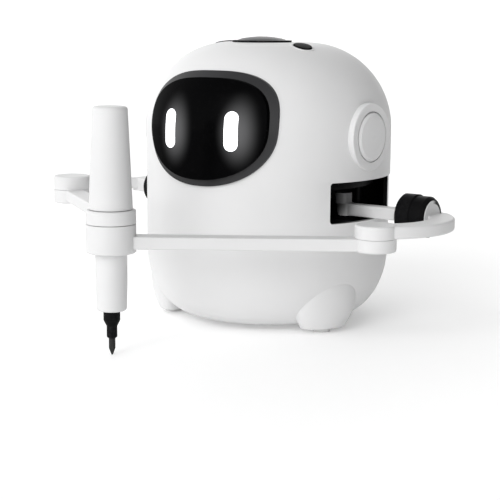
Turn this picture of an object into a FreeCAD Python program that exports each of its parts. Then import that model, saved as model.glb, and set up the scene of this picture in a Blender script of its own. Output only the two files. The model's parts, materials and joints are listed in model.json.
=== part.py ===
"""Desktop drawing robot: a round two-shell body whose two side arms carry one marker between them.

Millimetres, +Z up. The origin is on the table, on the axis of the round body. The face looks
along -Y, and the right arm is on +X. The feet and the marker's point stand on z = 0.
"""
import FreeCAD, Part
import math
import os
import Sketcher

DIMENSIONS = {
    # round body
    "body_radius": 60.0,
    "wall": 2.2,
    "bowl_flat": 36.6,
    "bowl_floor": 2.4,
    "belly_height": 35.5,
    "seam_height": 72.2,
    "dome_radius": 60.4,
    "dome_offset": 0.4,
    "shoulder_round": 41.4,
    "top_height": 135.5,
    # arm slots
    "slot_bottom": 53.1,
    "slot_half_width": 24.5,
    "slot_corner": 1.5,
    "side_turn": 6.5,
    # face
    "face_half_width": 34.6,
    "face_middle": 98.0,
    "face_rise": 25.0,
    "face_drop": 27.5,
    "bezel_width": 3.1,
    "bezel_proud": 1.2,
    "lens_proud": 3.4,
    "lens_thickness": 3.6,
    "eye_spacing": 16.5,
    "eye_height": 96.3,
    "eye_width": 6.4,
    "eye_length": 18.0,
    "eye_depth": 0.6,
    # ears
    "ear_height": 92.4,
    "ear_radius": 15.9,
    "ear_face": 61.0,
    "ear_cap_radius": 11.3,
    "ear_cap_face": 62.4,
    "ear_groove": 0.7,
    # feet
    "foot_turn": 25.9,
    "foot_twist": 5.6,
    "foot_tilt": 6.0,
    "foot_reach": 49.8,
    "foot_middle": 16.4,
    "foot_long": 8.6,
    "foot_wide": 16.3,
    "foot_tall": 19.8,
    "foot_floor": 2.4,
    "pad_reach": 47.6,
    "pad_radius": 4.2,
    "pad_height": 3.1,
    "grip_radius": 16.5,
    "grip_round": 0.8,
    # chassis
    "opening_radius": 34.0,
    "plate_flange": 36.0,
    "plate_flange_height": 1.4,
    "drum_radius": 26.0,
    "drum_wall": 1.8,
    "drum_bottom": 6.6,
    "deck_bottom": 74.0,
    "deck_thickness": 1.8,
    "deck_radius": 57.4,
    "skirt_bottom": 67.9,
    "skirt_inner": 50.4,
    "skirt_outer": 52.4,
    "rod_circle": 45.0,
    "guide_rod_radius": 1.9,
    "guide_rod_bottom": 34.0,
    "screw_circle": 21.0,
    "screw_radius": 1.3,
    "screw_head_radius": 2.5,
    "screw_head_height": 1.4,
    # lift carriage
    "carriage_bottom": 50.2,
    "carriage_top": 52.0,
    "carriage_radius": 56.8,
    "carriage_hole": 26.8,
    "running_gap": 0.08,
    "solenoid_reach": 41.0,
    "solenoid_radius": 8.0,
    "solenoid_bottom": 14.0,
    "solenoid_top": 40.0,
    "coil_arm_width": 8.0,
    "plunger_radius": 3.0,
    "plunger_bottom": 24.0,
    # shoulder drives
    "shoulder_reach": 44.2,
    "shoulder_forward": 0.5,
    "drive_length": 22.5,
    "drive_width": 12.0,
    "drive_bottom": 28.0,
    "drive_shaft_inset": 6.0,
    "drive_boss_radius": 5.4,
    "drive_boss_height": 1.0,
    "drive_shaft_radius": 2.0,
    "drive_shaft_depth": 2.6,
    # upper arms
    "right_arm_turn": 1.3,
    "left_arm_turn": 160.4,
    "right_rod_middle": 56.6,
    "left_rod_middle": 58.4,
    "rod_thickness": 5.8,
    "rod_width": 6.0,
    "rod_round": 0.9,
    "hub_radius": 4.1,
    "hub_rise": 5.0,
    "hub_back": 1.4,
    "right_rod_turn": -5.0,
    "left_rod_turn": 160.4,
    "right_cuff_start": 32.2,
    "right_cuff_step": 40.1,
    "right_cuff_end": 47.2,
    "left_cuff_start": 24.2,
    "left_cuff_step": 31.0,
    "left_cuff_end": 33.2,
    "cuff_radius": 10.2,
    "cuff_middle_radius": 9.6,
    "cuff_small_radius": 8.8,
    "cuff_bore": 3.4,
    "cuff_rim": 0.9,
    "cuff_recess": 1.2,
    "elbow_distance": 62.5,
    "elbow_turn": 51.8,
    "elbow_radius": 9.3,
    "crook_radius": 30.3,
    "crook_width": 11.4,
    "crook_thickness": 5.6,
    "right_disc_thickness": 5.9,
    "left_disc_thickness": 6.8,
    "crook_centre_along": 25.8,
    "crook_centre_across": 21.5,
    "crook_near_angle": 43.0,
    "crook_far_angle": 62.3,
    "crook_round": 1.1,
    "neck_width": 9.6,
    "neck_reach": 48.5,
    "plug_length": 1.6,
    "right_neck_height": 5.6,
    "left_neck_height": 7.0,
    "left_crook_tilt": 5.6,
    "right_elbow_seam": 52.3,
    "left_elbow_seam": 59.8,
    "elbow_gap": 0.15,
    "pin_radius": 2.5,
    "pin_depth": 4.4,
    # forearms and marker
    "forearm_length": 115.33,
    "forearm_width": 9.2,
    "forearm_thickness": 5.6,
    "forearm_round": 0.7,
    "right_forearm_rise": 0.5,
    "left_forearm_rise": 2.3,
    "right_ring_bottom": 45.7,
    "right_ring_top": 58.3,
    "left_ring_bottom": 58.6,
    "left_ring_top": 64.6,
    "ring_radius": 10.9,
    "loose_ring_bore": 9.2,
    "pen_across": -12.4,
    "pen_ahead": -112.1,
    "barrel_radius": 6.95,
    "barrel_bottom": 20.1,
    "barrel_top": 66.0,
    "refill_radius": 5.4,
    "refill_top": 100.0,
    "cover_bottom": 64.9,
    "cover_top": 109.1,
    "cover_base_radius": 9.55,
    "cover_top_radius": 7.6,
    "cover_wall": 1.3,
    "cover_round": 1.6,
    "collar_radius": 3.7,
    "collar_bottom": 15.6,
    "nib_holder_radius": 2.35,
    "nib_holder_shoulder": 12.9,
    "nib_holder_bottom": 7.5,
    "nib_radius": 1.45,
    "nib_cone_height": 3.0,
    "nib_point_radius": 0.35,
    # top controls
    "button_ahead": 6.8,
    "button_radius": 13.2,
    "button_gap": 0.35,
    "button_top": 138.2,
    "button_flange_top": 132.9,
    "button_flange_height": 1.0,
    "button_flange_extra": 1.6,
    "button_ring_width": 0.9,
    "button_ring_top": 136.4,
    "button_ring_bottom": 134.2,
    "side_button_reach": 28.1,
    "button_row_turn": 16.1,
    "side_button_radius": 4.4,
    "side_button_proud": 0.8,
    "side_button_flange_top": 128.7,
    "side_rim_width": 0.7,
    "side_rim_proud": 0.3,
    # electronics
    "board_radius": 46.0,
    "board_bottom": 82.0,
    "board_thickness": 1.6,
    "standoff_radius": 2.6,
    "standoff_circle": 38.0,
    "button_board_radius": 36.0,
    "button_board_bottom": 123.6,
    "button_post_circle": 24.0,
    "button_post_radius": 1.8,
    "switch_side": 6.0,
    "switch_height": 1.6,
    "face_board_width": 44.0,
    "face_board_height": 30.0,
    "face_board_ahead": 44.0,
    "battery_radius": 9.2,
    "battery_spacing": 9.4,
        "battery_length": 50.0,
    "speaker_radius": 13.0,
    "speaker_height": 7.0,
    "port_width": 9.4,
    "port_height": 3.8,
    "port_depth": 8.0,
    "port_middle": 42.0,
    "port_mouth_width": 8.4,
    "port_mouth_height": 2.8,
}

doc = FreeCAD.newDocument("drawing_robot")
sheet = doc.addObject("Spreadsheet::Sheet", "Dims")
for row, (alias, value) in enumerate(DIMENSIONS.items(), start=1):
    sheet.set(f"A{row}", alias)
    sheet.set(f"B{row}", str(value))
    sheet.setAlias(f"B{row}", alias)
doc.recompute()

nodes = []
Z_AXIS = FreeCAD.Vector(0, 0, 1)
Y_AXIS = FreeCAD.Vector(0, 1, 0)
ALONG_X = FreeCAD.Rotation(Y_AXIS, 90)
UPRIGHT = FreeCAD.Rotation()


def size(alias):
    """The value of one driving dimension."""
    return float(sheet.get(alias))


def worked(expression):
    """Write an expression in sheet aliases as the form setExpression needs."""
    words = str(expression).replace("(", " ( ").replace(")", " ) ").split()
    return " ".join(f"Dims.{word}" if word in DIMENSIONS else word for word in words)


def bind(item, **sizes):
    """Bind an object's properties to the sheet."""
    for prop, expression in sizes.items():
        item.setExpression(prop, worked(expression))
    return item


def place(item, x=0, y=0, z=0, rotation=UPRIGHT):
    """Bind an object's position to the sheet and give it its rotation."""
    item.Placement = FreeCAD.Placement(FreeCAD.Vector(), rotation)
    for letter, expression in (("x", x), ("y", y), ("z", z)):
        item.setExpression(f"Placement.Base.{letter}", worked(expression))
    return item


def finished(item, label):
    """Name an object as one sub-part of the robot."""
    item.Label = label
    nodes.append(item)
    return item


# ---------------------------------------------------------------- building blocks


def cylinder(name, radius, height, x=0, y=0, z=0, rotation=UPRIGHT):
    item = doc.addObject("Part::Cylinder", name)
    bind(item, Radius=radius, Height=height)
    return place(item, x, y, z, rotation)


def block(name, length, width, height, x=0, y=0, z=0, rotation=UPRIGHT):
    item = doc.addObject("Part::Box", name)
    bind(item, Length=length, Width=width, Height=height)
    return place(item, x, y, z, rotation)


def fused(name, *items):
    item = doc.addObject("Part::MultiFuse", name)
    item.Shapes = list(items)
    return item


def less(name, base, *tools):
    """The base with every tool cut away."""
    item = doc.addObject("Part::Cut", name)
    item.Base = base
    item.Tool = tools[0] if len(tools) == 1 else fused(f"{name}_tools", *tools)
    return item


def rounded(name, base, radius, chosen):
    """Round the base's edges that the test picks."""
    doc.recompute()
    item = doc.addObject("Part::Fillet", name)
    item.Base = base
    reach = size(radius)
    item.Edges = [(number, reach, reach) for number, edge in enumerate(base.Shape.Edges, 1) if chosen(edge)]
    return item


def feature(name, shape):
    """A shape that neither a primitive nor a sketched feature gives."""
    item = doc.addObject("Part::Feature", name)
    item.Shape = shape
    return item


def origin_plane(body, role):
    return next(plane for plane in body.Origin.OriginFeatures if plane.Role == role)


def turned(name, corners):
    """A body turned about its own Z axis from (radius, height) corners, each bound to the sheet."""
    body = doc.addObject("PartDesign::Body", name)
    sketch = body.newObject("Sketcher::SketchObject", f"{name}_sketch")
    sketch.AttachmentSupport = [(origin_plane(body, "XZ_Plane"), "")]
    sketch.MapMode = "FlatFace"
    probe = sheet_values(corners)
    for here, there in zip(probe, probe[1:] + probe[:1]):
        sketch.addGeometry(Part.LineSegment(FreeCAD.Vector(*here, 0), FreeCAD.Vector(*there, 0)))
    count = len(corners)
    for number in range(count):
        sketch.addConstraint(Sketcher.Constraint("Coincident", number, 2, (number + 1) % count, 1))
    for number, (corner, there) in enumerate(zip(corners, probe)):
        for kind, axis, expression, value in zip(("DistanceX", "DistanceY"), (-2, -1), corner, there):
            if expression == 0:
                sketch.addConstraint(Sketcher.Constraint("PointOnObject", number, 1, axis))
                continue
            index = sketch.addConstraint(Sketcher.Constraint(kind, -1, 1, number, 1, value))
            sketch.setExpression(f"Constraints[{index}]", worked(expression))
    turn = body.newObject("PartDesign::Revolution", f"{name}_turn")
    turn.Profile = sketch
    turn.ReferenceAxis = (sketch, ["V_Axis"])
    turn.Angle = 360.0
    return body


def sheet_values(corners):
    """The corners' numbers, worked out from the sheet."""
    known = {alias: size(alias) for alias in DIMENSIONS}
    numbers = []
    for corner in corners:
        numbers.append(tuple(total(expression, known) for expression in corner))
    return numbers


def total(expression, known):
    """Add up an expression made of aliases and numbers joined by + and -."""
    result = 0.0
    sign = 1.0
    for word in str(expression).split():
        if word in "+-":
            sign = -1.0 if word == "-" else 1.0
            continue
        result += sign * (known[word] if word in known else float(word))
    return result


def padded(name, draw, height):
    """A body padded up from a sketch on its XY plane; draw adds the sketch's geometry."""
    body = doc.addObject("PartDesign::Body", name)
    sketch = body.newObject("Sketcher::SketchObject", f"{name}_sketch")
    sketch.AttachmentSupport = [(origin_plane(body, "XY_Plane"), "")]
    sketch.MapMode = "FlatFace"
    draw(sketch)
    pad = body.newObject("PartDesign::Pad", f"{name}_pad")
    pad.Profile = sketch
    bind(pad, Length=height)
    return body


def draw_circle(sketch, radius, x="0", y="0"):
    """A circle whose radius and centre are bound to the sheet."""
    ((centre_x, centre_y),) = sheet_values([(x, y)])
    ((reach, _),) = sheet_values([(radius, "0")])
    centre = FreeCAD.Vector(centre_x, centre_y, 0)
    index = sketch.addGeometry(Part.Circle(centre, Z_AXIS, reach))
    bound = [("Radius", (index, reach), radius)]
    for kind, value, expression in (("DistanceX", centre_x, x), ("DistanceY", centre_y, y)):
        bound.append((kind, (-1, 1, index, 3, value), expression))
    for kind, where, expression in bound:
        number = sketch.addConstraint(Sketcher.Constraint(kind, *where))
        sketch.setExpression(f"Constraints[{number}]", worked(expression))


def polar(radius, degrees):
    """A point on a circle round the robot's axis, as numbers."""
    angle = math.radians(degrees)
    return size(radius) * math.cos(angle), size(radius) * math.sin(angle)


# ---------------------------------------------------------------- the round body's surfaces


def revolve(edges):
    face = Part.Face(Part.Wire(edges))
    return face.revolve(FreeCAD.Vector(), Z_AXIS, 360)


def corner(radius, height):
    return FreeCAD.Vector(radius, 0, height)


def quarter(centre, across, up, start, end):
    """A quarter of an upright ellipse in the XZ plane, from one angle to another."""
    if across >= up:
        ellipse = Part.Ellipse(centre, across, up)
        turn = FreeCAD.Rotation(FreeCAD.Vector(1, 0, 0), 90)
    else:
        ellipse = Part.Ellipse(centre, up, across)
        turn = FreeCAD.Rotation(FreeCAD.Vector(1, 0, 0), 90).multiply(FreeCAD.Rotation(Z_AXIS, 90))
        start, end = start - 90, end - 90
    arc = Part.Ellipse(FreeCAD.Vector(), ellipse.MajorRadius, ellipse.MinorRadius)
    edge = arc.toShape(math.radians(start), math.radians(end))
    edge.Placement = FreeCAD.Placement(centre, turn)
    return edge


def bowl(grown=0.0):
    """The solid inside the lower body's surface, grown outwards by a distance."""
    flat, belly, top = size("bowl_flat"), size("belly_height"), size("seam_height")
    across = size("body_radius") - flat + grown
    down = belly - size("bowl_floor") + grown
    edges = [
        Part.makeLine(corner(0, belly - down), corner(flat, belly - down)),
        quarter(corner(flat, belly), across, down, -90, 0),
        Part.makeLine(corner(flat + across, belly), corner(flat + across, top)),
        Part.makeLine(corner(flat + across, top), corner(0, top)),
        Part.makeLine(corner(0, top), corner(0, belly - down)),
    ]
    return revolve(Part.__sortEdges__(edges))


def dome(grown=0.0):
    """The solid inside the upper body's surface, grown outwards by a distance."""
    bend = size("shoulder_round")
    flat = size("dome_radius") - bend
    shoulder, seam = size("top_height") - bend, size("seam_height")
    reach = bend + grown
    edges = [
        Part.makeLine(corner(0, seam), corner(flat + reach, seam)),
        Part.makeLine(corner(flat + reach, seam), corner(flat + reach, shoulder)),
        quarter(corner(flat, shoulder), reach, reach, 0, 90),
        Part.makeLine(corner(flat, shoulder + reach), corner(0, shoulder + reach)),
        Part.makeLine(corner(0, shoulder + reach), corner(0, seam)),
    ]
    solid = revolve(Part.__sortEdges__(edges))
    solid.translate(FreeCAD.Vector(0, size("dome_offset"), 0))
    return solid


def whole_body(grown=0.0):
    return bowl(grown).fuse(dome(grown))


def face_outline(inset):
    """The face window's outline in the XZ plane: fuller corners above its middle than below."""
    middle = size("face_middle")
    half_width = size("face_half_width") - inset
    corner_count = 48
    upper_power, lower_power = 2.8, 2.2
    points = []
    for step in range(corner_count):
        angle = 2 * math.pi * step / corner_count
        upward = math.sin(angle) >= 0
        power = 2 / (upper_power if upward else lower_power)
        reach = (size("face_rise") if upward else size("face_drop")) - inset
        x = half_width * math.copysign(abs(math.cos(angle)) ** power, math.cos(angle))
        z = middle + reach * math.copysign(abs(math.sin(angle)) ** power, math.sin(angle))
        points.append(FreeCAD.Vector(x, 0, z))
    curve = Part.BSplineCurve()
    curve.interpolate(points, PeriodicFlag=True)
    return Part.Wire(curve.toShape())


def face_prism(inset):
    """The face window's outline run forwards from the robot's middle."""
    return Part.Face(face_outline(inset)).extrude(FreeCAD.Vector(0, -2 * size("body_radius"), 0))


def capsule_prism(x):
    """An upright rounded bar run forwards, for one eye."""
    half = size("eye_width") / 2
    straight = size("eye_length") / 2 - half
    middle = size("eye_height")
    bar = Part.makeBox(2 * half, 80, 2 * straight, FreeCAD.Vector(x - half, -80, middle - straight))
    for end in (-straight, straight):
        centre = FreeCAD.Vector(x, -80, middle + end)
        bar = bar.fuse(Part.makeCylinder(half, 80, centre, Y_AXIS))
    return bar.removeSplitter()


def slot_tool(side):
    """The rounded block that opens one arm slot, pointing out of one side of the body."""
    wide, low, high = size("slot_half_width"), size("slot_bottom"), size("seam_height")
    tool = Part.makeBox(50, 2 * wide, high - low, FreeCAD.Vector(30, -wide, low))
    along = [edge for edge in tool.Edges if abs(edge.tangentAt(0).x) > 0.9]
    tool = tool.makeFillet(size("slot_corner"), along)
    tool.rotate(FreeCAD.Vector(), Z_AXIS, -size("side_turn"))
    return tool if side > 0 else tool.mirror(FreeCAD.Vector(), FreeCAD.Vector(1, 0, 0))


# ---------------------------------------------------------------- shells


def make_shells():
    bowl_surface = bowl()
    floor = Part.makeCylinder(size("opening_radius"), 20)
    lower = bowl_surface.cut([bowl(-size("wall")), floor, slot_tool(1), slot_tool(-1), face_prism(0)])
    lower = lower.cut(port_prism(size("port_width"), size("port_height")))
    finished(feature("lower_shell", lower), "lower_shell")

    openings = [dome(-size("wall")), face_prism(0)]
    reach = size("button_radius") + size("button_gap") + size("button_ring_width")
    openings.append(Part.makeCylinder(reach, 60, FreeCAD.Vector(0, -size("button_ahead"), 100)))
    for side in (-1, 1):
        openings.append(small_column(side, size("side_rim_width") + size("button_gap"), 100, 60))
    finished(feature("upper_shell", dome().cut(openings)), "upper_shell")


def port_prism(width, height):
    start = FreeCAD.Vector(-width / 2, 40, size("port_middle") - height / 2)
    return Part.makeBox(width, 30, height, start)


def row_point(side):
    """The centre of one small top button: the three buttons stand in one slanting row."""
    turn = -math.radians(size("button_row_turn"))
    reach = side * size("side_button_reach")
    return reach * math.cos(turn), reach * math.sin(turn) - size("button_ahead")


def small_column(side, grown, bottom, height):
    """An upright round column on one small top button's axis."""
    x, y = row_point(side)
    return Part.makeCylinder(size("side_button_radius") + grown, height, FreeCAD.Vector(x, y, bottom))


def make_face():
    inner = whole_body(-size("wall"))
    bezel_layer = whole_body(size("bezel_proud")).cut(inner)
    ring = face_prism(0).cut(face_prism(size("bezel_width")))
    finished(feature("visor_bezel", bezel_layer.common(ring)), "visor_bezel")

    front = whole_body(size("lens_proud"))
    back = whole_body(size("lens_proud") - size("lens_thickness"))
    lens = front.cut(back).common(face_prism(size("bezel_width")))
    under_eye = whole_body(size("lens_proud") - size("eye_depth"))
    for side, label in ((1, "eye_light_right"), (-1, "eye_light_left")):
        prism = capsule_prism(side * size("eye_spacing"))
        eye = front.cut(under_eye).common(prism)
        lens = lens.cut(eye)
        finished(feature(label, eye), label)
    finished(feature("visor_lens", lens), "visor_lens")


def make_ears():
    for side, name in ((1, "right"), (-1, "left")):
        axis = FreeCAD.Rotation(Z_AXIS, -size("side_turn") if side > 0 else 180 + size("side_turn"))
        turn = axis.multiply(ALONG_X)
        disc = cylinder(f"ear_disc_{name}", "ear_radius", "ear_face - 45", rotation=turn)
        start = axis.multVec(FreeCAD.Vector(45, 0, 0))
        place(disc, start.x, start.y, "ear_height", turn)
        soft = rounded(f"ear_soft_{name}", disc, "ear_groove", lambda edge: is_far_ring(edge, start))
        well = cylinder(f"ear_well_{name}", "ear_cap_radius + ear_groove", 30)
        place(well, start.x, start.y, "ear_height", turn)
        surface = feature(f"ear_seat_{name}", whole_body())
        finished(less(f"ear_flange_{name}", soft, well, surface), f"ear_flange_{name}")

        cap = turned(f"ear_button_{name}", [
            (0, 45),
            ("ear_cap_radius", 45),
            ("ear_cap_radius", "ear_face + 0.2"),
            ("ear_cap_radius - 1.2", "ear_face + 0.9"),
            ("ear_cap_radius - 4.5", "ear_cap_face - 0.15"),
            (0, "ear_cap_face"),
        ])
        place(cap, 0, 0, "ear_height", turn)
        finished(less(f"ear_cap_{name}", cap, feature(f"cap_seat_{name}", whole_body())), f"ear_cap_{name}")


def is_far_ring(edge, start):
    """Whether an edge is the ear disc's outer rim, the circle further from the robot's axis."""
    centre = edge.CenterOfMass
    return edge.isClosed() and math.hypot(centre.x, centre.y) > math.hypot(start.x, start.y) + 1


def make_feet():
    body = bowl()
    ground = Part.makeBox(200, 200, 50, FreeCAD.Vector(-100, -100, size("foot_floor") - 50))
    pads = []
    turns = {"front_foot_right": -1, "front_foot_left": 1, "rear_foot": 0}
    for label, mirror in turns.items():
        turn = 90 + mirror * (90 + size("foot_turn"))
        twist = FreeCAD.Rotation(Z_AXIS, turn + mirror * size("foot_twist"))
        egg = doc.addObject("Part::Ellipsoid", f"{label}_egg")
        bind(egg, Radius1="foot_tall", Radius2="foot_long", Radius3="foot_wide")
        x, y = polar("foot_reach", turn)
        place(egg, x, y, "foot_middle", twist.multiply(FreeCAD.Rotation(Y_AXIS, size("foot_tilt"))))
        x, y = polar("pad_reach", turn)
        pad = cylinder(f"{label}_pad", "pad_radius", "pad_height", x, y)
        seat = feature(f"{label}_seat", body.fuse(ground))
        finished(less(label, egg, seat, pad), label)
        pads.append(cylinder(f"{label}_rubber", "pad_radius", "pad_height", x, y))
    finished(fused("foot_pads", *pads), "foot_pads")
    grip = turned("grip_disc", [
        (0, 0),
        ("grip_radius - grip_round", 0),
        ("grip_radius", "grip_round"),
        ("grip_radius", "bowl_floor"),
        (0, "bowl_floor"),
    ])
    finished(grip, "grip_pad")


# ---------------------------------------------------------------- chassis


def ring_of(count, radius, first=0.0):
    """Evenly spaced points on a circle round the robot's axis."""
    return [polar(radius, first + 360 * number / count) for number in range(count)]


def make_base():
    plate = turned("plate_disc", [
        (0, "bowl_floor"),
        ("opening_radius", "bowl_floor"),
        ("opening_radius", "bowl_floor + wall"),
        ("plate_flange", "bowl_floor + wall"),
        ("plate_flange", "bowl_floor + wall + plate_flange_height"),
        (0, "bowl_floor + wall + plate_flange_height"),
    ])
    drum = turned("drum_cup", [
        (0, "drum_bottom"),
        ("drum_radius", "drum_bottom"),
        ("drum_radius", "deck_bottom"),
        ("drum_radius - drum_wall", "deck_bottom"),
        ("drum_radius - drum_wall", "drum_bottom + drum_wall"),
        (0, "drum_bottom + drum_wall"),
    ])
    screws = []
    holes = []
    seats = []
    seat = "bowl_floor + 0.2"
    depth = "drum_bottom + drum_wall - bowl_floor"
    for number, (x, y) in enumerate(ring_of(4, "screw_circle", 45)):
        head = cylinder(f"base_head_{number}", "screw_head_radius", "screw_head_height", x, y, seat)
        shank = cylinder(f"base_shank_{number}", "screw_radius", depth, x, y, seat)
        screws.append(fused(f"base_screw_{number}", head, shank))
        holes.append(cylinder(f"drum_hole_{number}", "screw_radius", 20, x, y))
        seats.append(cylinder(f"plate_hole_{number}", "screw_radius", 20, x, y))
        sink = f"{seat} + screw_head_height"
        seats.append(cylinder(f"plate_sink_{number}", "screw_head_radius", sink, x, y))
    finished(less("base_plate", plate, *seats), "base_plate")
    finished(less("chassis_drum", drum, *holes), "chassis_drum")
    finished(fused("base_screws", *screws), "base_screws")


def make_deck():
    deck = turned("deck_disc", [
        (0, "deck_bottom"),
        ("skirt_inner", "deck_bottom"),
        ("skirt_inner", "skirt_bottom"),
        ("skirt_outer", "skirt_bottom"),
        ("skirt_outer", "deck_bottom"),
        ("deck_radius", "deck_bottom"),
        ("deck_radius", "deck_bottom + deck_thickness"),
        (0, "deck_bottom + deck_thickness"),
    ])
    rods = []
    sockets = []
    low = "guide_rod_bottom"
    length = f"deck_bottom + deck_thickness - {low}"
    for number, (x, y) in enumerate(ring_of(3, "rod_circle", 30)):
        rods.append(cylinder(f"rod_{number}", "guide_rod_radius", length, x, y, low))
        sockets.append(cylinder(f"rod_socket_{number}", "guide_rod_radius", length, x, y, low))
    finished(less("top_deck", deck, *sockets), "top_deck")
    finished(fused("guide_rods", *rods), "guide_rods")


def make_lift():
    def outline(sketch):
        draw_circle(sketch, "carriage_radius")
        draw_circle(sketch, "carriage_hole")

    plate = padded("carriage_disc", outline, "carriage_top - carriage_bottom")
    place(plate, 0, 0, "carriage_bottom")
    tools = []
    for number, (x, y) in enumerate(ring_of(3, "rod_circle", 30)):
        tools.append(cylinder(f"rod_way_{number}", "guide_rod_radius + running_gap", 30, x, y, 40))
    for side in (-1, 1):
        tools.append(drive_box(f"drive_way_{'right' if side > 0 else 'left'}", side))
    finished(less("lift_carriage", plate, *tools), "lift_carriage")

    reach = "solenoid_reach"
    height = "solenoid_top - solenoid_bottom"
    coil = cylinder("coil_can", "solenoid_radius", height, 0, reach, "solenoid_bottom")
    bore = cylinder("coil_bore", "plunger_radius + running_gap", 30, 0, reach, "plunger_bottom - 5")
    width = "coil_arm_width"
    arm = block("coil_arm", width, reach, width, -size(width) / 2, 0, "plunger_bottom")
    drum_space = cylinder("coil_arm_end", "drum_radius", 60)
    finished(less("lift_solenoid", fused("coil_and_arm", coil, arm), bore, drum_space), "lift_solenoid")
    stroke = "carriage_bottom - plunger_bottom"
    plunger = cylinder("plunger", "plunger_radius", stroke, 0, reach, "plunger_bottom")
    finished(plunger, "lift_plunger")


def drive_box(name, side):
    """One shoulder drive's case, with its shaft near its outer end."""
    start = "shoulder_reach - drive_length + drive_shaft_inset"
    if side < 0:
        start = "0 - shoulder_reach - drive_shaft_inset"
    forward = "0 - shoulder_forward - drive_shaft_inset"
    height = "carriage_top - drive_bottom"
    return block(name, "drive_length", "drive_width", height, start, forward, "drive_bottom")


def make_drive(side, name, rod_middle):
    across = "shoulder_reach" if side > 0 else "0 - shoulder_reach"
    forward = "0 - shoulder_forward"
    case = drive_box(f"drive_case_{name}", side)
    spot = (across, forward, "carriage_top")
    boss = cylinder(f"drive_boss_{name}", "drive_boss_radius", "drive_boss_height", *spot)
    height = f"{rod_middle} - 2.9 + drive_shaft_depth - carriage_top"
    shaft = cylinder(f"drive_shaft_{name}", "drive_shaft_radius", height, *spot)
    finished(fused(f"shoulder_drive_{name}", case, boss, shaft), f"shoulder_drive_{name}")


# ---------------------------------------------------------------- arms


def arm_placement(side, line="arm"):
    """The frame of an upper arm: pivot at its origin, and the named line of the arm along its +X."""
    name = "right" if side > 0 else "left"
    turn = FreeCAD.Rotation(Z_AXIS, size(f"{name}_{line}_turn"))
    pivot = FreeCAD.Vector(side * size("shoulder_reach"), -size("shoulder_forward"), 0)
    return FreeCAD.Placement(pivot, turn)


def carried(item, where, offset, rotation=UPRIGHT):
    """Set an object's place from its place in the arm's own frame."""
    item.Placement = where.multiply(FreeCAD.Placement(offset, rotation))
    return item


def along_rod(edge):
    return abs(edge.tangentAt(edge.FirstParameter).x) > 0.9


def make_upper_arm(side, name, seam):
    where = arm_placement(side, "rod")
    middle = f"{name}_rod_middle"
    low = f"{middle} - 2.9"

    length = f"{name}_cuff_end - cuff_recess"
    edge = -size("rod_width") / 2
    bar = block(f"rod_bar_{name}", length, "rod_width", "rod_thickness", 0, edge, low)
    soft = rounded(f"rod_soft_{name}", bar, "rod_round", along_rod)
    end = cylinder(f"rod_end_{name}", "hub_radius", "rod_thickness", 0, 0, low)
    socket_low = f"{low} - 8 + drive_shaft_depth + 0.4"
    socket = cylinder(f"rod_socket_{name}", "drive_shaft_radius + 0.06", 8, 0, 0, socket_low)
    rod = less(f"arm_rod_{name}", fused(f"rod_whole_{name}", soft, end), socket)
    rod.Placement = where
    finished(rod, f"arm_rod_{name}")

    hub = doc.addObject("Part::Cylinder", f"arm_hub_{name}")
    bind(hub, Radius="hub_radius", Height="hub_rise")
    top = FreeCAD.Vector(-size("hub_back"), 0, size(middle) + size("rod_thickness") / 2)
    finished(carried(hub, where, top), f"arm_hub_{name}")

    make_cuff(name, middle, where)
    make_crook(side, name, middle, seam)


def make_cuff(name, middle, where):
    """The black stepped sleeve on the rod, and the pale disc that closes its outer face."""
    start, step, end = (f"{name}_cuff_{part}" for part in ("start", "step", "end"))
    cuff = turned(f"cuff_sleeve_{name}", [
        ("cuff_bore", start),
        ("cuff_radius - 1.0", start),
        ("cuff_radius", f"{start} + 1.0"),
        ("cuff_radius", f"{step} - 0.6"),
        ("cuff_middle_radius", step),
        ("cuff_middle_radius", f"{end} - 1.6"),
        ("cuff_small_radius", f"{end} - 0.4"),
        ("cuff_small_radius - 0.4", end),
        ("cuff_small_radius - cuff_rim", end),
        ("cuff_small_radius - cuff_rim", f"{end} - cuff_recess"),
        ("cuff_bore", f"{end} - cuff_recess"),
    ])
    carried(cuff, where, FreeCAD.Vector(0, 0, size(middle)), ALONG_X)
    rod_way = doc.addObject("Part::Box", f"cuff_way_{name}")
    bind(rod_way, Length=end, Width="rod_width", Height="rod_thickness")
    corner_low = FreeCAD.Vector(0, -size("rod_width") / 2, size(middle) - size("rod_thickness") / 2)
    carried(rod_way, where, corner_low)
    finished(less(f"cuff_{name}", cuff, rod_way), f"arm_cuff_{name}")


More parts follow.
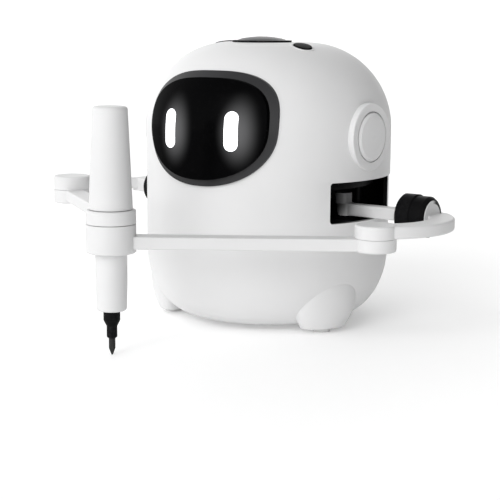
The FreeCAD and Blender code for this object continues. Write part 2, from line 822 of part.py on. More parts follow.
def crook_band(side, middle_height, tilt):
    """The curved band of the outer arm: a flat sector with round ends and softened edges."""
    centre = FreeCAD.Vector(size("crook_centre_along"), -side * size("crook_centre_across"), 0)
    near = math.radians(size("crook_near_angle"))
    far = -math.radians(size("crook_far_angle"))
    half = size("crook_width") / 2

    def on_arc(radius, angle):
        return centre + FreeCAD.Vector(radius * math.cos(angle), side * radius * math.sin(angle), 0)

    def arc(radius):
        middle = (near + far) / 2
        return Part.Arc(on_arc(radius, near), on_arc(radius, middle), on_arc(radius, far)).toShape()

    def cap(angle, beyond):
        reach = size("crook_radius")
        tip = on_arc(reach, angle) + FreeCAD.Vector(
            -beyond * half * math.sin(angle), side * beyond * half * math.cos(angle), 0)
        return Part.Arc(on_arc(reach - half, angle), tip, on_arc(reach + half, angle)).toShape()

    inner, outer = arc(size("crook_radius") - half), arc(size("crook_radius") + half)
    wire = Part.Wire(Part.__sortEdges__([inner, outer, cap(near, 1), cap(far, -1)]))
    thickness = size("crook_thickness")
    band = Part.Face(wire).extrude(FreeCAD.Vector(0, 0, thickness))
    flat = [edge for edge in band.Edges if edge.BoundBox.ZLength < 0.01]
    band = band.makeFillet(size("crook_round"), flat)
    start = on_arc(size("crook_radius"), near)
    run = on_arc(size("crook_radius"), far) - start
    band.translate(FreeCAD.Vector(0, 0, middle_height - thickness / 2))
    level = Z_AXIS.cross(run)
    band.rotate(FreeCAD.Vector(start.x, start.y, middle_height), level, -tilt)
    return band, start


def make_neck(side, name):
    """The plug in the cuff's mouth and the square neck that runs on from it, in the arm's own frame."""
    height, width = size(f"{name}_neck_height"), size("neck_width")
    middle, end = size(f"{name}_rod_middle"), size(f"{name}_cuff_end")
    face = end - size("cuff_recess")
    low = middle - height / 2
    if side > 0:
        low = size("right_elbow_seam") + size("elbow_gap") / 2
    along = FreeCAD.Vector(1, 0, 0)
    at_face = FreeCAD.Vector(face, 0, middle)
    plug_radius = size("cuff_small_radius") - size("cuff_rim")
    plug = Part.makeCylinder(plug_radius, size("plug_length"), at_face, along)
    neck = Part.makeBox(size("neck_reach") - face, width, height, FreeCAD.Vector(face, -width / 2, low))
    sleeve_space = Part.makeCylinder(size("cuff_radius") + 1, end, FreeCAD.Vector(0, 0, middle), along)
    turn = arm_placement(side).inverse().multiply(arm_placement(side, "rod"))
    for shape in (plug, neck, sleeve_space):
        shape.Placement = turn.multiply(shape.Placement)
    return plug, neck, sleeve_space


def make_crook(side, name, middle, seam):
    """The outer arm: a neck out of the cuff, the curved band, and the elbow's upper disc."""
    where = arm_placement(side)
    tilt = size("left_crook_tilt") if side < 0 else 0.0
    disc_low = size(seam) + size("elbow_gap") / 2
    thickness = size(f"{name}_disc_thickness")
    disc_top = disc_low + thickness
    near_height = size(middle) if side < 0 else disc_low + size("crook_thickness") / 2
    band, start = crook_band(side, near_height, tilt)
    plug, neck, cuff_space = make_neck(side, name)
    elbow = elbow_point(side)
    disc = Part.makeCylinder(size("elbow_radius"), thickness, elbow + FreeCAD.Vector(0, 0, disc_low))
    rim = [edge for edge in disc.Edges if edge.isClosed() and edge.CenterOfMass.z > disc_top - 0.1]
    disc = disc.makeFillet(1.0, rim)
    clear_above = Part.makeCylinder(30, 10, elbow + FreeCAD.Vector(0, 0, disc_low - 10))
    band = band.cut([cuff_space, clear_above])
    solid = band.fuse([neck, disc, plug])
    hole = Part.makeCylinder(size("pin_radius"), size("pin_depth"), elbow + FreeCAD.Vector(0, 0, disc_low))
    crook = feature(f"arm_crook_{name}", solid.cut(hole).removeSplitter())
    crook.Placement = where
    finished(crook, f"arm_crook_{name}")

    pin = doc.addObject("Part::Cylinder", f"elbow_pin_{name}")
    bind(pin, Radius="pin_radius", Height="pin_depth + pin_depth + elbow_gap - 0.1")
    foot = elbow + FreeCAD.Vector(0, 0, disc_low - size("pin_depth") - size("elbow_gap") + 0.1)
    finished(carried(pin, where, foot), f"elbow_pin_{name}")


def elbow_point(side):
    """The elbow's axis in its upper arm's own frame."""
    turn = -side * math.radians(size("elbow_turn"))
    reach = size("elbow_distance")
    return FreeCAD.Vector(reach * math.cos(turn), reach * math.sin(turn), 0)


def make_forearm(side, name, bore):
    """A straight bar with a disc under the elbow and a ring round the marker, built along +X."""
    top = size(f"{name}_elbow_seam") - size("elbow_gap") / 2
    ring_low, ring_high = size(f"{name}_ring_bottom"), size(f"{name}_ring_top")
    depth = size(f"{name}_disc_thickness")
    thickness = size("forearm_thickness")
    width = size("forearm_width")
    length = size("forearm_length")
    disc = Part.makeCylinder(size("elbow_radius"), depth, FreeCAD.Vector(0, 0, top - depth))
    edge_low = [edge for edge in disc.Edges if edge.isClosed() and edge.CenterOfMass.z < top - depth + 0.1]
    disc = disc.makeFillet(1.0, edge_low)
    bar = Part.makeBox(length, width, thickness, FreeCAD.Vector(0, -width / 2, top - thickness))
    bar = bar.makeFillet(size("forearm_round"), [edge for edge in bar.Edges if along_rod(edge)])
    bar.rotate(FreeCAD.Vector(0, 0, top), Y_AXIS, -size(f"{name}_forearm_rise"))
    centre = FreeCAD.Vector(length, 0, ring_low)
    ring = Part.makeCylinder(size("ring_radius"), ring_high - ring_low, centre)
    outer_face = ring_high if side < 0 else ring_low
    rims = [edge for edge in ring.Edges
            if edge.isClosed() and abs(edge.CenterOfMass.z - outer_face) < 0.1]
    ring = ring.makeFillet(0.8, rims)
    above = Part.makeCylinder(size("elbow_radius") + 1.5, 3, FreeCAD.Vector(0, 0, top))
    below = Part.makeCylinder(size("ring_radius") + 1.2, 20, centre - FreeCAD.Vector(0, 0, 20))
    bar = bar.cut([above, below])
    solid = disc.fuse([bar, ring])
    pin_hole = Part.makeCylinder(size("pin_radius") + 0.06, size("pin_depth") + 0.2,
                                 FreeCAD.Vector(0, 0, top - size("pin_depth") - 0.2))
    pen_hole = Part.makeCylinder(bore, 60, FreeCAD.Vector(length, 0, ring_low - 20))
    forearm = feature(f"forearm_{name}", solid.cut([pin_hole, pen_hole]).removeSplitter())
    elbow = arm_placement(side).multVec(elbow_point(side))
    reach = FreeCAD.Vector(size("pen_across"), size("pen_ahead"), 0) - elbow
    heading = math.degrees(math.atan2(reach.y, reach.x))
    forearm.Placement = FreeCAD.Placement(elbow, FreeCAD.Rotation(Z_AXIS, heading))
    finished(forearm, f"forearm_{name}")


# ---------------------------------------------------------------- marker


def make_marker():
    cover = turned("marker_cover", [
        ("barrel_radius", "cover_bottom"),
        ("cover_base_radius", "cover_bottom"),
        ("cover_top_radius", "cover_top"),
        (0, "cover_top"),
        (0, "cover_top - 1.5"),
        ("cover_top_radius - cover_wall", "cover_top - 1.5"),
        ("cover_base_radius - cover_wall", "barrel_top + 0.8"),
        ("barrel_radius", "barrel_top + 0.8"),
    ])
    doc.recompute()
    soft = cover.newObject("PartDesign::Fillet", "marker_cover_round")
    turn = doc.getObject("marker_cover_turn")
    crown = [f"Edge{number}" for number, edge in enumerate(turn.Shape.Edges, 1)
             if edge.isClosed() and abs(edge.CenterOfMass.z - size("cover_top")) < 0.01]
    soft.Base = (turn, crown)
    bind(soft, Radius="cover_round")
    cover.Tip = soft
    place(cover, "pen_across", "pen_ahead", 0)
    finished(cover, "marker_cover")

    barrel = turned("marker_barrel", [
        (0, "barrel_bottom"),
        ("barrel_radius - 0.9", "barrel_bottom"),
        ("barrel_radius - 0.3", "barrel_bottom + 0.6"),
        ("barrel_radius", "barrel_bottom + 12"),
        ("barrel_radius", "barrel_top"),
        ("refill_radius", "barrel_top"),
        ("refill_radius", "refill_top"),
        (0, "refill_top"),
    ])
    place(barrel, "pen_across", "pen_ahead", 0)
    finished(barrel, "marker_barrel")

    collar = turned("nib_collar", [
        (0, "nib_holder_shoulder"),
        ("nib_holder_radius", "nib_holder_shoulder"),
        ("collar_radius", "collar_bottom"),
        ("collar_radius", "barrel_bottom"),
        (0, "barrel_bottom"),
    ])
    place(collar, "pen_across", "pen_ahead", 0)
    finished(collar, "nib_collar")

    holder = turned("nib_holder", [
        (0, "nib_holder_bottom"),
        ("nib_radius + 0.2", "nib_holder_bottom"),
        ("nib_holder_radius", "nib_holder_bottom + 0.6"),
        ("nib_holder_radius", "nib_holder_shoulder"),
        (0, "nib_holder_shoulder"),
    ])
    place(holder, "pen_across", "pen_ahead", 0)
    finished(holder, "nib_holder")

    nib = turned("nib", [
        (0, "0.0001"),
        ("nib_point_radius", "0.0001"),
        ("nib_radius", "nib_cone_height"),
        ("nib_radius", "nib_holder_bottom"),
        (0, "nib_holder_bottom"),
    ])
    place(nib, "pen_across", "pen_ahead", 0)
    finished(nib, "nib")


# ---------------------------------------------------------------- top controls


def make_top_controls():
    ahead = "0 - button_ahead"
    button = turned("main_button", [
        (0, "button_flange_top - button_flange_height"),
        ("button_radius + button_flange_extra", "button_flange_top - button_flange_height"),
        ("button_radius + button_flange_extra", "button_flange_top"),
        ("button_radius", "button_flange_top"),
        ("button_radius", "button_top - 2.7"),
        ("button_radius - 0.7", "button_top - 1.9"),
        ("button_radius - 3.5", "button_top - 0.9"),
        ("button_radius - 7.5", "button_top - 0.25"),
        ("button_radius - 11", "button_top"),
        (0, "button_top"),
    ])
    place(button, 0, ahead, 0)
    finished(button, "main_button")

    ring = turned("main_button_ring", [
        ("button_radius + button_gap", "button_ring_bottom"),
        ("button_radius + button_gap + button_ring_width", "button_ring_bottom"),
        ("button_radius + button_gap + button_ring_width", "button_ring_top"),
        ("button_radius + button_gap", "button_ring_top"),
    ])
    place(ring, 0, ahead, 0)
    finished(ring, "main_button_ring")

    rims = []
    under_rim = dome(-size("wall") / 2)
    crowned = dome(size("side_button_proud"))
    for side, name in ((1, "right"), (-1, "left")):
        flange_top = size("side_button_flange_top")
        cap = small_column(side, 0, flange_top, 20).common(crowned)
        crown = [edge for edge in cap.Edges
                 if edge.BoundBox.XLength > 0.1 and edge.CenterOfMass.z > flange_top + 1]
        cap = cap.makeFillet(0.4, crown)
        flange = small_column(side, size("button_flange_extra"), flange_top - 1, 1)
        finished(feature(f"side_button_{name}", cap.fuse(flange).removeSplitter()), f"side_button_{name}")
        outside = small_column(side, size("side_rim_width") + size("button_gap"), 100, 60)
        inside = small_column(side, size("button_gap"), 100, 60)
        rims.append(outside.cut([inside, under_rim]).common(dome(size("side_rim_proud"))))
    finished(feature("side_button_rims", Part.makeCompound(rims)), "side_button_rims")


# ---------------------------------------------------------------- electronics


def make_boards():
    main = cylinder("main_board_disc", "board_radius", "board_thickness", 0, 0, "board_bottom")
    standoffs = []
    screws = []
    holes = []
    for number, (x, y) in enumerate(ring_of(4, "standoff_circle", 45)):
        deck_top = "deck_bottom + deck_thickness"
        gap = "board_bottom - deck_bottom - deck_thickness"
        post = cylinder(f"standoff_{number}", "standoff_radius", gap, x, y, deck_top)
        bore = cylinder(f"standoff_bore_{number}", "screw_radius", 30, x, y, "board_bottom - 4")
        standoffs.append(less(f"board_post_{number}", post, bore))
        head = cylinder(f"board_head_{number}", "screw_head_radius", "screw_head_height", x, y)
        place(head, x, y, "board_bottom + board_thickness")
        shank = cylinder(f"board_shank_{number}", "screw_radius", "board_thickness + 3.8",
                         x, y, "board_bottom - 3.8")
        screws.append(fused(f"board_screw_{number}", head, shank))
        holes.append(cylinder(f"board_hole_{number}", "screw_radius", 30, x, y, "board_bottom - 4"))
    finished(less("main_board", main, *holes), "main_board")
    finished(fused("board_standoffs", *standoffs), "board_standoffs")
    finished(fused("board_screws", *screws), "board_screws")

    board_top = "board_bottom + board_thickness"
    chips = [
        block("processor", 14, 14, 1.4, -7, -10, board_top),
        block("motor_driver", 9, 7, 1.6, 20, -6, board_top),
        block("radio_module", 16, 12, 2.4, -30, -14, board_top),
    ]
    finished(fused("board_chips", *chips), "board_chips")
    finished(cylinder("speaker", "speaker_radius", "speaker_height", 0, 28, board_top), "speaker")

    ahead = "0 - face_board_ahead"
    start = -size("face_board_width") / 2
    face = block("face_board", "face_board_width", "board_thickness", "face_board_height",
                 start, ahead, board_top)
    finished(face, "face_board")

    low = "button_board_bottom"
    buttons = cylinder("button_board", "button_board_radius", "board_thickness", 0, 0, low)
    finished(buttons, "button_board")
    top = "button_board_bottom + board_thickness"
    switches = []
    for number, side in enumerate((-1, 0, 1)):
        x, y = row_point(side)
        item = block(f"switch_{number}", "switch_side", "switch_side", "switch_height")
        switches.append(place(item, x - size("switch_side") / 2, y - size("switch_side") / 2, top))
    finished(fused("button_switches", *switches), "button_switches")
    posts = []
    for number, (x, y) in enumerate(ring_of(4, "button_post_circle", 15)):
        height = ceiling_height(math.hypot(x, y)) - size("button_board_bottom") - size("board_thickness")
        posts.append(cylinder(f"button_post_{number}", "button_post_radius", height, x, y, top))
    finished(fused("button_board_posts", *posts), "button_board_posts")


def ceiling_height(radius):
    """How high a post of the button board may reach under the dome at a radius."""
    bend = size("shoulder_round")
    inner = bend - size("wall")
    across = radius + size("button_post_radius") + size("dome_offset") - (size("dome_radius") - bend)
    return size("top_height") - bend + math.sqrt(inner ** 2 - max(across, 0) ** 2)


def make_power():
    cells = []
    for number, side in enumerate((-1, 1)):
        cell = cylinder(f"cell_{number}", "battery_radius", "battery_length")
        cells.append(place(cell, side * size("battery_spacing"), 0, "drum_bottom + drum_wall"))
    finished(fused("battery_cells", *cells), "battery_cells")

    width, height = size("port_width"), size("port_height")
    back = size("body_radius") - 0.3
    depth = size("port_depth")
    corner = FreeCAD.Vector(-width / 2, back - depth, size("port_middle") - height / 2)
    case = Part.makeBox(width, depth, height, corner)
    mouth_width, mouth_height = size("port_mouth_width"), size("port_mouth_height")
    mouth_at = FreeCAD.Vector(-mouth_width / 2, back - depth + 1, size("port_middle") - mouth_height / 2)
    mouth = Part.makeBox(mouth_width, depth, mouth_height, mouth_at)
    tongue_at = FreeCAD.Vector(-3, back - depth + 0.5, size("port_middle") - 0.35)
    tongue = Part.makeBox(6, depth - 2, 0.7, tongue_at)
    finished(feature("charge_port", case.cut(mouth).fuse(tongue)), "charge_port")


# ---------------------------------------------------------------- build and write

make_shells()
make_face()
make_ears()
make_feet()
make_base()
make_deck()
make_lift()
make_drive(1, "right", "right_rod_middle")
make_drive(-1, "left", "left_rod_middle")
make_upper_arm(1, "right", "right_elbow_seam")
make_upper_arm(-1, "left", "left_elbow_seam")
snug_bore = size("barrel_radius") + size("running_gap")
make_forearm(1, "right", snug_bore)
make_forearm(-1, "left", size("loose_ring_bore"))
make_marker()
make_top_controls()
make_boards()
make_power()
doc.recompute()

faults = []
for item in doc.Objects:
    if "Invalid" in item.State or "Error" in item.State:
        faults.append(f"{item.Name}: {item.State}")
for item in nodes:
    if item.Shape.isNull() or not item.Shape.isValid() or not item.Shape.Solids:
        faults.append(f"{item.Label}: no valid solid")
if faults:
    raise RuntimeError("; ".join(faults))

os.makedirs("parts", exist_ok=True)
for item in nodes:
    item.Shape.exportStep(f"parts/{item.Label}.step")
    print(f"{item.Label}: {len(item.Shape.Solids)} solid, {item.Shape.Volume / 1000:.2f} cm3")
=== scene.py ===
"""Looks of a desktop drawing robot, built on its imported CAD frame.

Metres, +Z up. The face looks along -Y and the right arm is on +X. The table top is z = 0.
"""
import json
import math

import bmesh
import bpy
from mathutils import Matrix, Vector

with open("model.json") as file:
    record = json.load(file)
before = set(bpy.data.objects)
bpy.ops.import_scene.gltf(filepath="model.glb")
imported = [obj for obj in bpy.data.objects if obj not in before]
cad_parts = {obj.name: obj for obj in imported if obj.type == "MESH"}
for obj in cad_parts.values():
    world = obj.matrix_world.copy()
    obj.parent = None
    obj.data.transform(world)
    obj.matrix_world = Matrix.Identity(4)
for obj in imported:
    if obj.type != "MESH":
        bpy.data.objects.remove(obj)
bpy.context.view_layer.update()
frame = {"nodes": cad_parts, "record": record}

NODES = frame["nodes"]
MM = 0.001
RANGE_SOCKETS = ("From Min", "From Max", "To Min", "To Max")

# painted light and shade: the painted glow beside each eye, the painted shade round the rod's root, the
# painted shade inside the shells, and the cuff's black lip with painted shade, whose shift runs from the
# cuff's middle to the middle of its outer face
PAINTED_GLOW_SHIFT = Vector((3.0, 0.0, -0.3)) * MM
PAINTED_GLOW_REACH = (11.5 * MM, 20.0 * MM)
HUB_PAINTED_SHADE_REACH = (11.0 * MM, 14.0 * MM)
SHELL_MIDDLE = Vector((0.0, 0.0, 60.0)) * MM
LIP_SHIFT = Vector((7.3, -0.64, 0.0)) * MM
LIP_RADIUS = 6.3 * MM
LIP_DEPTH = 1.8 * MM
LIP_START, LIP_WHOLE = -1.0 * MM, 2.0 * MM
LIP_EDGE = 0.1 * MM

# linear colours, the pairs being the dark and light ends of a slight drift
BLACK = (0.0, 0.0, 0.0)
# painted shade: the black painted on the shells' insides
INSIDE_SHADE_BLACK = (0.003, 0.003, 0.003)
# painted: the cuff's black lip, with painted shade from the sleeve on the disc
LIP_AND_SHADE_BLACK = (0.004, 0.004, 0.004)
# painted shade: the dark grey painted round the rod's root
PAINTED_SHADE_GREY = (0.03, 0.03, 0.03)
SHELL_WHITES = ((0.642, 0.642, 0.644), (0.659, 0.659, 0.661))
ARM_WHITES = ((0.618, 0.618, 0.620), (0.635, 0.635, 0.637))
# painted glow: the emission colour of the glow painted beside each eye
PAINTED_GLOW_GREY = (0.135, 0.135, 0.138)

# camera: its turn is azimuth, elevation and roll in degrees, and its lens is in millimetres
CAMERA_PLACE = Vector((0.3371, -0.5682, 0.1441))
CAMERA_TURN = (31.428, 9.628, 0.44)
CAMERA_LENS = 95.9

# lights: the key's azimuth and elevation and its angular size in degrees, then the sky
KEY_DIRECTION = (0, 30)
KEY_SOFTNESS = 32
KEY_POWER = 0.85

DARK_SIDE = (0.857, 0.515, 0.0)
DARK_SIDE_SPAN = (0.20, 0.76)
SKY_LOW, SKY_HIGH = 2.1, 0.6

FLOOR_RADIUS = 30.0
FLOOR_GLOW = 0.18

# ---------------------------------------------------------------- camera and lights


def camera_axes(azimuth, elevation, roll):
    """Right, up and back directions of a camera that looks at the robot from these angles."""
    a, e, r = (math.radians(angle) for angle in (azimuth, elevation, roll))
    back = Vector((math.sin(a) * math.cos(e), -math.cos(a) * math.cos(e), math.sin(e)))
    right = Vector((math.cos(a), math.sin(a), 0))
    up = back.cross(right)
    turned_right = right * math.cos(r) + up * math.sin(r)
    turned_up = up * math.cos(r) - right * math.sin(r)
    return turned_right, turned_up, back


def make_camera():
    data = bpy.data.cameras.new("camera")
    data.lens = CAMERA_LENS
    data.clip_start = 0.02
    data.clip_end = 100
    camera = bpy.data.objects.new("camera", data)
    bpy.context.scene.collection.objects.link(camera)
    turn = Matrix(camera_axes(*CAMERA_TURN)).transposed()
    camera.matrix_world = Matrix.Translation(CAMERA_PLACE) @ turn.to_4x4()
    bpy.context.scene.camera = camera


def make_key():
    """A broad soft sun, placed by its azimuth from the face's direction and its elevation."""
    data = bpy.data.lights.new("key", "SUN")
    data.energy = KEY_POWER
    data.angle = math.radians(KEY_SOFTNESS)
    light = bpy.data.objects.new("key", data)
    bpy.context.scene.collection.objects.link(light)
    light.rotation_mode = "QUATERNION"
    back = camera_axes(*KEY_DIRECTION, 0)[2]
    light.rotation_quaternion = back.to_track_quat("Z", "Y")


def make_world():
    """A pale studio, brightest low down all round, with a dark side to the right of the robot."""
    world = bpy.data.worlds.new("studio")
    bpy.context.scene.world = world
    world.use_nodes = True
    tree = world.node_tree
    background = tree.nodes["Background"]
    where = tree.nodes.new("ShaderNodeTexCoord")

    def ramped(direction, start, end, low, high):
        """A smooth change over the span of a view direction's part along the given one."""
        facing = tree.nodes.new("ShaderNodeVectorMath")
        facing.operation = "DOT_PRODUCT"
        facing.inputs[1].default_value = direction
        ramp = tree.nodes.new("ShaderNodeMapRange")
        ramp.interpolation_type = "SMOOTHSTEP"
        for socket, value in zip(RANGE_SOCKETS, (start, end, low, high)):
            ramp.inputs[socket].default_value = value
        tree.links.new(where.outputs["Generated"], facing.inputs[0])
        tree.links.new(facing.outputs["Value"], ramp.inputs["Value"])
        return ramp.outputs["Result"]

    strength = tree.nodes.new("ShaderNodeMath")
    strength.operation = "MULTIPLY"
    tree.links.new(ramped(DARK_SIDE, *DARK_SIDE_SPAN, 1.0, 0.0), strength.inputs[0])
    tree.links.new(ramped((0.0, 0.0, 1.0), 0.0, 1.0, SKY_LOW, SKY_HIGH), strength.inputs[1])
    tree.links.new(strength.outputs["Value"], background.inputs["Strength"])
    background.inputs["Color"].default_value = (1.0, 1.0, 1.0, 1.0)


# ---------------------------------------------------------------- materials


class Finish:
    """One procedural material: a principled shader with its colour, roughness and relief from noise."""

    def __init__(self, name, rough, **constants):
        self.material = bpy.data.materials.new(name)
        self.material.use_nodes = True
        self.tree = self.material.node_tree
        self.shader = self.tree.nodes["Principled BSDF"]
        self.where = self.tree.nodes.new("ShaderNodeTexCoord")
        self.shader.inputs["Roughness"].default_value = rough
        for socket, value in constants.items():
            self.shader.inputs[socket.replace("_", " ")].default_value = value

    def add(self, kind, **settings):
        node = self.tree.nodes.new(kind)
        for key, value in settings.items():
            setattr(node, key, value)
        return node

    def link(self, source, target):
        self.tree.links.new(source, target)

    def noise(self, scale, detail=3.0, stretch=None):
        """Noise over the surface; scale is in features per metre."""
        node = self.add("ShaderNodeTexNoise")
        node.inputs["Scale"].default_value = scale
        node.inputs["Detail"].default_value = detail
        source = self.where.outputs["Object"]
        if stretch:
            mapping = self.add("ShaderNodeMapping")
            mapping.inputs["Scale"].default_value = stretch
            self.link(source, mapping.inputs["Vector"])
            source = mapping.outputs["Vector"]
        self.link(source, node.inputs["Vector"])
        return node.outputs["Fac"]

    def ranged(self, value, low, high, start=0.3, end=0.7):
        node = self.add("ShaderNodeMapRange")
        for socket, number in zip(RANGE_SOCKETS, (start, end, low, high)):
            node.inputs[socket].default_value = number
        self.link(value, node.inputs["Value"])
        return node.outputs["Result"]

    def blend(self, factor, first, second):
        node = self.add("ShaderNodeMix", data_type="RGBA")
        for index, colour in ((6, first), (7, second)):
            if isinstance(colour, tuple):
                node.inputs[index].default_value = (*colour, 1.0)
            else:
                self.link(colour, node.inputs[index])
        self.link(factor, node.inputs[0])
        return node.outputs[2]

    def product(self, first, second):
        node = self.add("ShaderNodeMath", operation="MULTIPLY")
        self.link(first, node.inputs[0])
        self.link(second, node.inputs[1])
        return node.outputs["Value"]

    def offset_from(self, middle):
        node = self.add("ShaderNodeVectorMath", operation="SUBTRACT")
        self.link(self.where.outputs["Object"], node.inputs[0])
        node.inputs[1].default_value = middle
        return node.outputs["Vector"]

    def spot(self, centre, reach):
        """A soft-edged spot: one at the centre, nothing beyond the reach along X and Z."""
        shrunk = self.add("ShaderNodeVectorMath", operation="MULTIPLY")
        self.link(self.offset_from(centre), shrunk.inputs[0])
        shrunk.inputs[1].default_value = (1 / reach[0], 0.0, 1 / reach[1])
        length = self.add("ShaderNodeVectorMath", operation="LENGTH")
        self.link(shrunk.outputs["Vector"], length.inputs[0])
        fade = self.ranged(length.outputs["Value"], 1.0, 0.0, 0.0, 1.0)
        fade.node.interpolation_type = "SMOOTHERSTEP"
        return fade

    def inward(self, middle, full=-0.15, none=-0.05):
        """One on faces that look back towards the middle, such as a shell's inside.

        The limits are cosines between the face's normal and the way out from the middle.
        """
        outward = self.add("ShaderNodeVectorMath", operation="NORMALIZE")
        self.link(self.offset_from(middle), outward.inputs[0])
        facing = self.add("ShaderNodeVectorMath", operation="DOT_PRODUCT")
        self.link(outward.outputs["Vector"], facing.inputs[0])
        self.link(self.where.outputs["Normal"], facing.inputs[1])
        return self.ranged(facing.outputs["Value"], 1.0, 0.0, full, none)

    def worn_edges(self, strength, start=0.52, end=0.62):
        """High on sharp convex edges, broken up by noise."""
        geometry = self.add("ShaderNodeNewGeometry")
        edge = self.ranged(geometry.outputs["Pointiness"], 0.0, strength, start, end)
        scuff = self.ranged(self.noise(900, 5.0), 0.0, 1.0, 0.4, 0.65)
        return self.product(edge, scuff)

    def relief(self, height, distance, strength=1.0, under=None):
        node = self.add("ShaderNodeBump")
        node.inputs["Distance"].default_value = distance
        node.inputs["Strength"].default_value = strength
        self.link(height, node.inputs["Height"])
        if under is not None:
            self.link(under, node.inputs["Normal"])
        return node.outputs["Normal"]

    def wear(self, colour=None, rough=None, normal=None):
        if colour is not None:
            self.link(colour, self.shader.inputs["Base Color"])
        if rough is not None:
            self.link(rough, self.shader.inputs["Roughness"])
        if normal is not None:
            self.link(normal, self.shader.inputs["Normal"])
        return self.material


def moulded(name, dark, light, rough, grain_scale, grain_depth, edge=None, inside_shade=None, **constants):
    """Moulded plastic: slight colour drift, a fine grain, faint sink marks and softly worn edges.

    An inside shade is painted shade: a dark colour for a shell's inside and for the cut faces of its
    openings, where shade falls.
    """
    finish = Finish(name, rough, **constants)
    colour = finish.blend(finish.ranged(finish.noise(35, 4.0), 0.0, 1.0), dark, light)
    if edge:
        colour = finish.blend(finish.worn_edges(0.6), colour, edge)
    if inside_shade:
        # painted shade: faces that look inward turn to the inside shade colour
        colour = finish.blend(finish.inward(SHELL_MIDDLE), colour, inside_shade)
    handled = finish.ranged(finish.noise(70, 6.0), rough - 0.05, rough + 0.06)
    sink = finish.relief(finish.noise(28, 1.0), 0.00012, 0.35)
    grain = finish.relief(finish.noise(grain_scale, 2.0), grain_depth, 0.5, sink)
    return finish.wear(colour, handled, grain)


def metal(name, dark, light, rough, stretch):
    """Turned or drawn metal with fine tool lines."""
    finish = Finish(name, rough, Metallic=1.0)
    lines = finish.noise(900, 4.0, stretch)
    colour = finish.blend(finish.ranged(finish.noise(120, 4.0), 0.0, 1.0), dark, light)
    scored = finish.ranged(lines, rough - 0.08, rough + 0.1)
    return finish.wear(colour, scored, finish.relief(lines, 0.00003, 0.4))


def circuit(name):
    """Green lacquered board with paler copper tracks under the lacquer."""
    finish = Finish(name, 0.35, Coat_Weight=0.4, Coat_Roughness=0.15)
    bricks = finish.add("ShaderNodeTexBrick", offset=0.5)
    layout = {"Scale": 160.0, "Mortar Size": 0.06, "Brick Width": 0.9, "Row Height": 0.3}
    for socket, value in layout.items():
        bricks.inputs[socket].default_value = value
    bricks.inputs["Color1"].default_value = (0.010, 0.085, 0.040, 1)
    bricks.inputs["Color2"].default_value = (0.014, 0.105, 0.050, 1)
    bricks.inputs["Mortar"].default_value = (0.030, 0.190, 0.080, 1)
    finish.link(finish.where.outputs["Object"], bricks.inputs["Vector"])
    rough = finish.ranged(finish.noise(300), 0.28, 0.45)
    tracks = finish.relief(bricks.outputs["Fac"], 0.00004, 0.6)
    return finish.wear(bricks.outputs["Color"], rough, tracks)


def lit_eye(name):
    """A white diffuser lit from behind, with a faint mottle."""
    finish = Finish(name, 0.3, Emission_Strength=1.15)
    mottle = finish.ranged(finish.noise(400, 3.0), 0.0, 1.0)
    glow = finish.blend(mottle, (0.96, 0.98, 1.0), (1.0, 1.0, 1.0))
    finish.link(glow, finish.shader.inputs["Emission Color"])
    colour = finish.blend(mottle, (0.86, 0.87, 0.9), (0.92, 0.93, 0.95))
    return finish.wear(colour, None, finish.relief(finish.noise(2500), 0.00002, 0.3))


def local_middle(node, carrier):
    """The middle of one node's box, in another node's own coordinates."""
    to_carrier = carrier.matrix_world.inverted() @ node.matrix_world
    corners = [to_carrier @ Vector(corner) for corner in node.bound_box]
    return sum(corners, Vector()) / len(corners)


def lit_window(name):
    """Deep black window with faint dust, and a painted glow beside each eye that spreads softly to its
    right.
    """
    finish = Finish(name, 0.2, Specular_IOR_Level=0.012, Emission_Strength=1.0)
    dust = finish.ranged(finish.noise(500, 8.0), 0.0, 0.5, 0.55, 0.75)
    colour = finish.blend(dust, (0.0014, 0.0014, 0.0016), (0.0032, 0.0032, 0.0036))
    # painted glow: a soft emission spot beside each eye, not light from the eyes themselves
    painted_glows = finish.add("ShaderNodeMath", operation="MAXIMUM")
    for side, socket in zip(("right", "left"), painted_glows.inputs):
        middle = local_middle(NODES[f"eye_light_{side}"], NODES["visor_lens"]) + PAINTED_GLOW_SHIFT
        finish.link(finish.spot(middle, PAINTED_GLOW_REACH), socket)
    glow = finish.blend(painted_glows.outputs["Value"], BLACK, PAINTED_GLOW_GREY)
    finish.link(glow, finish.shader.inputs["Emission Color"])
    rough = finish.ranged(finish.noise(90, 7.0), 0.16, 0.26)
    return finish.wear(colour, rough, finish.relief(finish.noise(40, 2.0), 0.00004, 0.2))


class ArmFinish(Finish):
    """Arm plastic that a mask can turn dark in one place, for painted shade."""

    def __init__(self, name):
        super().__init__(name, 0.5, Specular_IOR_Level=0.25)
        drift = self.ranged(self.noise(60, 2.0), 0.0, 1.0)
        self.plastic = self.blend(drift, *ARM_WHITES)

    def darkened(self, mask, dark):
        colour = self.blend(mask, self.plastic, dark)
        rough = self.ranged(self.noise(300), 0.46, 0.54)
        return self.wear(colour, rough, self.relief(self.noise(5200), 0.00005, 0.2))


def painted_shade_rod(name):
    """Arm plastic with painted shade: it turns dark grey round the hub, where the rod sits deep in the
    slot.
    """
    finish = ArmFinish(name)
    middle = local_middle(NODES["arm_hub_right"], NODES["arm_rod_right"])
    # painted shade: a dark grey spot round the hub
    return finish.darkened(finish.spot(middle, HUB_PAINTED_SHADE_REACH), PAINTED_SHADE_GREY)


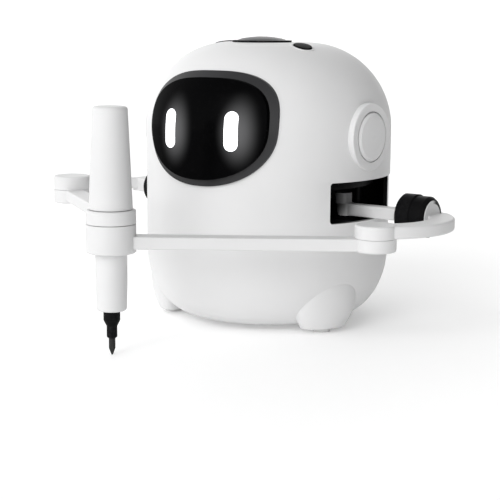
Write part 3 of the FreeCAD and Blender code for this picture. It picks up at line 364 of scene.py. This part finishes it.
def lip_and_shade_crook(name):
    """Arm plastic with a black lip painted round the far side of the disc that closes the cuff, standing
    for the black sleeve's rim and for painted shade from the sleeve on the disc's edge.
    """
    finish = ArmFinish(name)
    middle = local_middle(NODES["arm_cuff_right"], NODES["arm_crook_right"]) + LIP_SHIFT
    offset = finish.offset_from(middle)
    across = finish.add("ShaderNodeVectorMath", operation="MULTIPLY")
    finish.link(offset, across.inputs[0])
    across.inputs[1].default_value = (0.0, 1.0, 1.0)
    distance = finish.add("ShaderNodeVectorMath", operation="LENGTH")
    finish.link(across.outputs["Vector"], distance.inputs[0])
    parts = finish.add("ShaderNodeSeparateXYZ")
    finish.link(offset, parts.inputs[0])
    inner, outer = LIP_RADIUS - LIP_EDGE, LIP_RADIUS + LIP_EDGE
    rim = finish.ranged(distance.outputs["Value"], 0.0, 1.0, inner, outer)
    on_disc = finish.ranged(parts.outputs["X"], 1.0, 0.0, LIP_DEPTH - LIP_EDGE, LIP_DEPTH)
    far_side = finish.ranged(parts.outputs["Y"], 0.0, 1.0, LIP_START, LIP_WHOLE)
    # painted lip and shade: a black band on the far edge of the disc
    lip = finish.product(finish.product(rim, on_disc), far_side)
    return finish.darkened(lip, LIP_AND_SHADE_BLACK)


def shell_white(name, inside_shade=None):
    return moulded(name, *SHELL_WHITES, 0.45, 4200, 0.00003, inside_shade=inside_shade, Specular_IOR_Level=0.22)


MATERIALS = {
    "white_shell": shell_white("white_shell"),
    "arm_plastic": moulded("arm_plastic", *ARM_WHITES, 0.5, 5200, 0.00005, Specular_IOR_Level=0.25),
    "visor_lens": lit_window("visor_lens"),
    "visor_bezel": moulded("visor_bezel", (0.014, 0.014, 0.015), (0.020, 0.020, 0.022), 0.36, 6000, 0.00002,
                           Specular_IOR_Level=0.3),
    "eye_light": lit_eye("eye_light"),
    "black_plastic": moulded("black_plastic", (0.003, 0.003, 0.0033), (0.005, 0.005, 0.0054), 0.45,
                             5200, 0.00005, edge=(0.02, 0.02, 0.021), Specular_IOR_Level=0.04),
    "rubber": moulded("rubber", (0.56, 0.56, 0.56), (0.61, 0.61, 0.60), 0.78, 3000, 0.0001),
    "grey_plastic": moulded("grey_plastic", (0.13, 0.13, 0.132), (0.16, 0.16, 0.162), 0.5, 5200, 0.00004),
    "button_face": moulded("button_face", (0.030, 0.030, 0.033), (0.042, 0.042, 0.046), 0.42, 5200, 0.00005,
                           edge=(0.09, 0.09, 0.09)),
    "dark_steel": moulded("dark_steel", (0.003, 0.003, 0.0034), (0.006, 0.006, 0.0064), 0.5, 5200, 0.00004,
                          Specular_IOR_Level=0.15),
    "steel": metal("steel", (0.48, 0.48, 0.50), (0.62, 0.62, 0.64), 0.32, (1, 1, 12)),
    "circuit_board": circuit("circuit_board"),
    "chip": moulded("chip", (0.012, 0.012, 0.013), (0.022, 0.022, 0.023), 0.55, 6000, 0.00004),
    "battery_wrap": moulded("battery_wrap", (0.03, 0.09, 0.28), (0.04, 0.12, 0.34), 0.3, 3000, 0.00004),
    "speaker_cone": moulded("speaker_cone", (0.02, 0.02, 0.022), (0.032, 0.032, 0.034), 0.7, 2500, 0.00012),
    "nib_felt": moulded("nib_felt", (0.006, 0.006, 0.006), (0.014, 0.014, 0.014), 0.85, 3500, 0.00014),
}


def paint_cad():
    """Give each CAD node the finish of its material slot, then the few finishes with painted shade."""
    slots = {part["node"]: part["material_slot"] for part in frame["record"]["subparts"]}
    for name, node in NODES.items():
        node.data.materials.clear()
        node.data.materials.append(MATERIALS[slots[name]])
    NODES["arm_rod_right"].data.materials[0] = painted_shade_rod("painted_shade_rod")
    # painted shade on the rod's root and on the cuff's disc, as a black lip
    NODES["arm_crook_right"].data.materials[0] = lip_and_shade_crook("lip_and_shade_crook")
    # painted shade: the white shells' insides are painted black
    inside_shaded_white = shell_white("inside_shaded_shell", INSIDE_SHADE_BLACK)
    for shell in ("upper_shell", "lower_shell"):
        NODES[shell].data.materials[0] = inside_shaded_white


def make_floor():
    """A wide pale sheet under the robot, which gives off a little light of its own."""
    mesh = bpy.data.meshes.new("floor")
    build = bmesh.new()
    bmesh.ops.create_circle(build, cap_ends=True, radius=FLOOR_RADIUS, segments=96)
    build.to_mesh(mesh)
    build.free()
    floor = bpy.data.objects.new("floor", mesh)
    bpy.context.scene.collection.objects.link(floor)
    finish = Finish("floor_paper", 0.7, Specular_IOR_Level=0.1, Emission_Strength=FLOOR_GLOW)
    drift = finish.ranged(finish.noise(3, 3.0), 0.0, 1.0)
    colour = finish.blend(drift, (0.93, 0.93, 0.93), (0.95, 0.95, 0.95))
    mesh.materials.append(finish.wear(colour, None, finish.relief(finish.noise(900), 0.00004, 0.2)))


# ---------------------------------------------------------------- build

make_camera()
make_world()
make_key()
paint_cad()
make_floor()
bpy.context.scene.view_settings.view_transform = "Standard"
